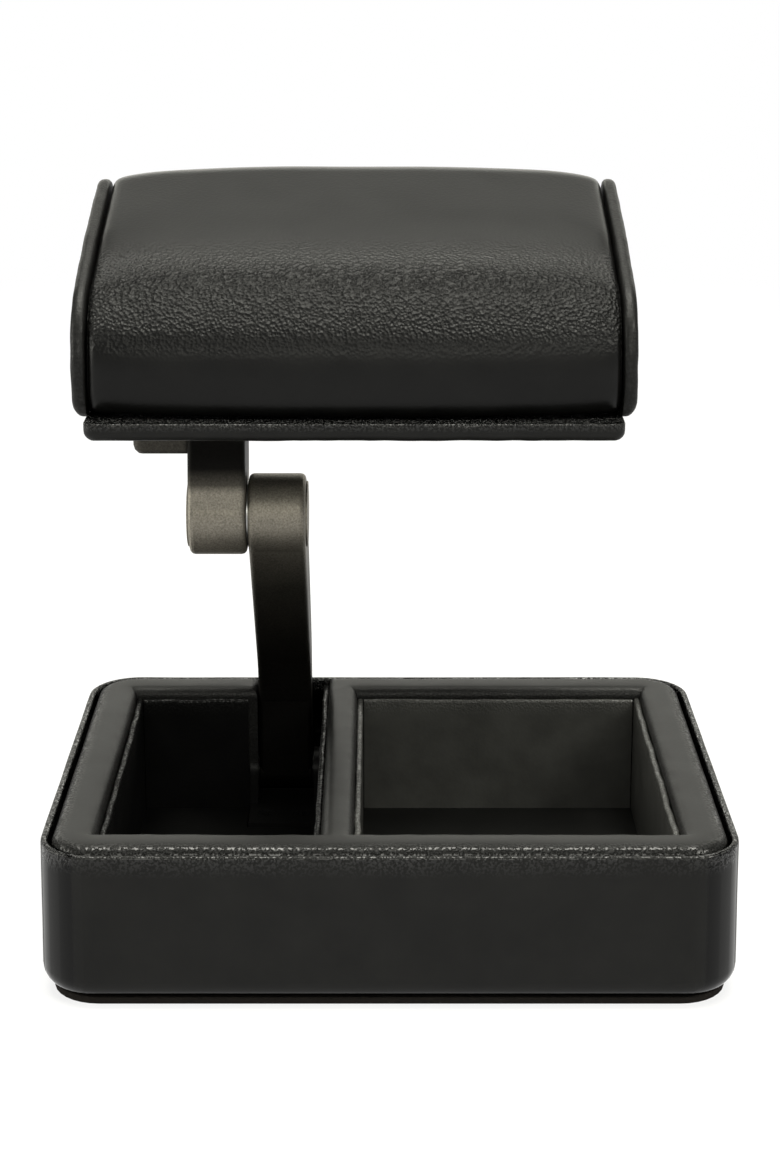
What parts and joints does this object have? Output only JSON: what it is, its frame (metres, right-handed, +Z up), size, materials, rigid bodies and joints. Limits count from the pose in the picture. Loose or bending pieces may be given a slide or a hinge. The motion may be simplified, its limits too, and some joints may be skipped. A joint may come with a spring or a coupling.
{
  "type": "watch stand",
  "caption": "Folding leather-wrapped stand: a padded cuff on a jointed metal arm holds a watch above a tray with two lined compartments.",
  "frame": {"origin": "middle of the underside, on the surface it stands on", "axes": "+Z up, +Y to the back where the arm is carried, +X to the right seen from the front"},
  "size_m": [0.1312, 0.1012, 0.146],
  "materials": {
    "leather": "smooth black leather, satin",
    "cuff_leather": "soft black grained leather over padding, satin",
    "lining_leather": "black grained leather lining, satin",
    "gunmetal": "fine bead-blasted gunmetal, satin",
    "steel": "plain steel",
    "black_steel": "blackened steel, matt",
    "base_felt": "black short-napped cloth"
  },
  "bodies": {
    "base": {"base_pad": "base_felt", "base_tray": "leather", "insert_frame": "leather", "left_front_liner": "lining_leather", "left_back_liner": "lining_leather", "left_outer_liner": "lining_leather", "left_divider_liner": "lining_leather", "left_floor_panel": "lining_leather", "right_front_liner": "lining_leather", "right_back_liner": "lining_leather", "right_outer_liner": "lining_leather", "right_divider_liner": "lining_leather", "right_floor_panel": "lining_leather", "hinge_bracket": "black_steel", "bracket_screws": "black_steel", "pivot_pin": "steel", "pivot_washers": "steel"},
    "lower_arm": {"lower_arm": "gunmetal", "knuckle_bolt": "steel", "knuckle_nut": "steel", "spring_washers": "steel", "knuckle_washer": "steel", "right_cap": "gunmetal"},
    "cuff": {"upper_arm": "gunmetal", "left_cap": "gunmetal", "block_screws": "steel", "cuff_board": "leather", "left_cuff_panel": "leather", "right_cuff_panel": "leather", "cuff_padding": "cuff_leather"}
  },
  "joints": [
    {"name": "base_pivot", "type": "hinge", "parent": "base", "child": "lower_arm", "pos_m": [-0.0226, 0.0439, 0.011], "axis": [1, 0, 0], "range_deg": [0, 52]},
    {"name": "knuckle_pivot", "type": "hinge", "parent": "lower_arm", "child": "cuff", "pos_m": [-0.0286, 0.0135, 0.078], "axis": [1, 0, 0], "range_deg": [-52, 0]}
  ],
  "couplings": [
    {"joint": "knuckle_pivot", "follows": "base_pivot", "ratio": -1}
  ]
}
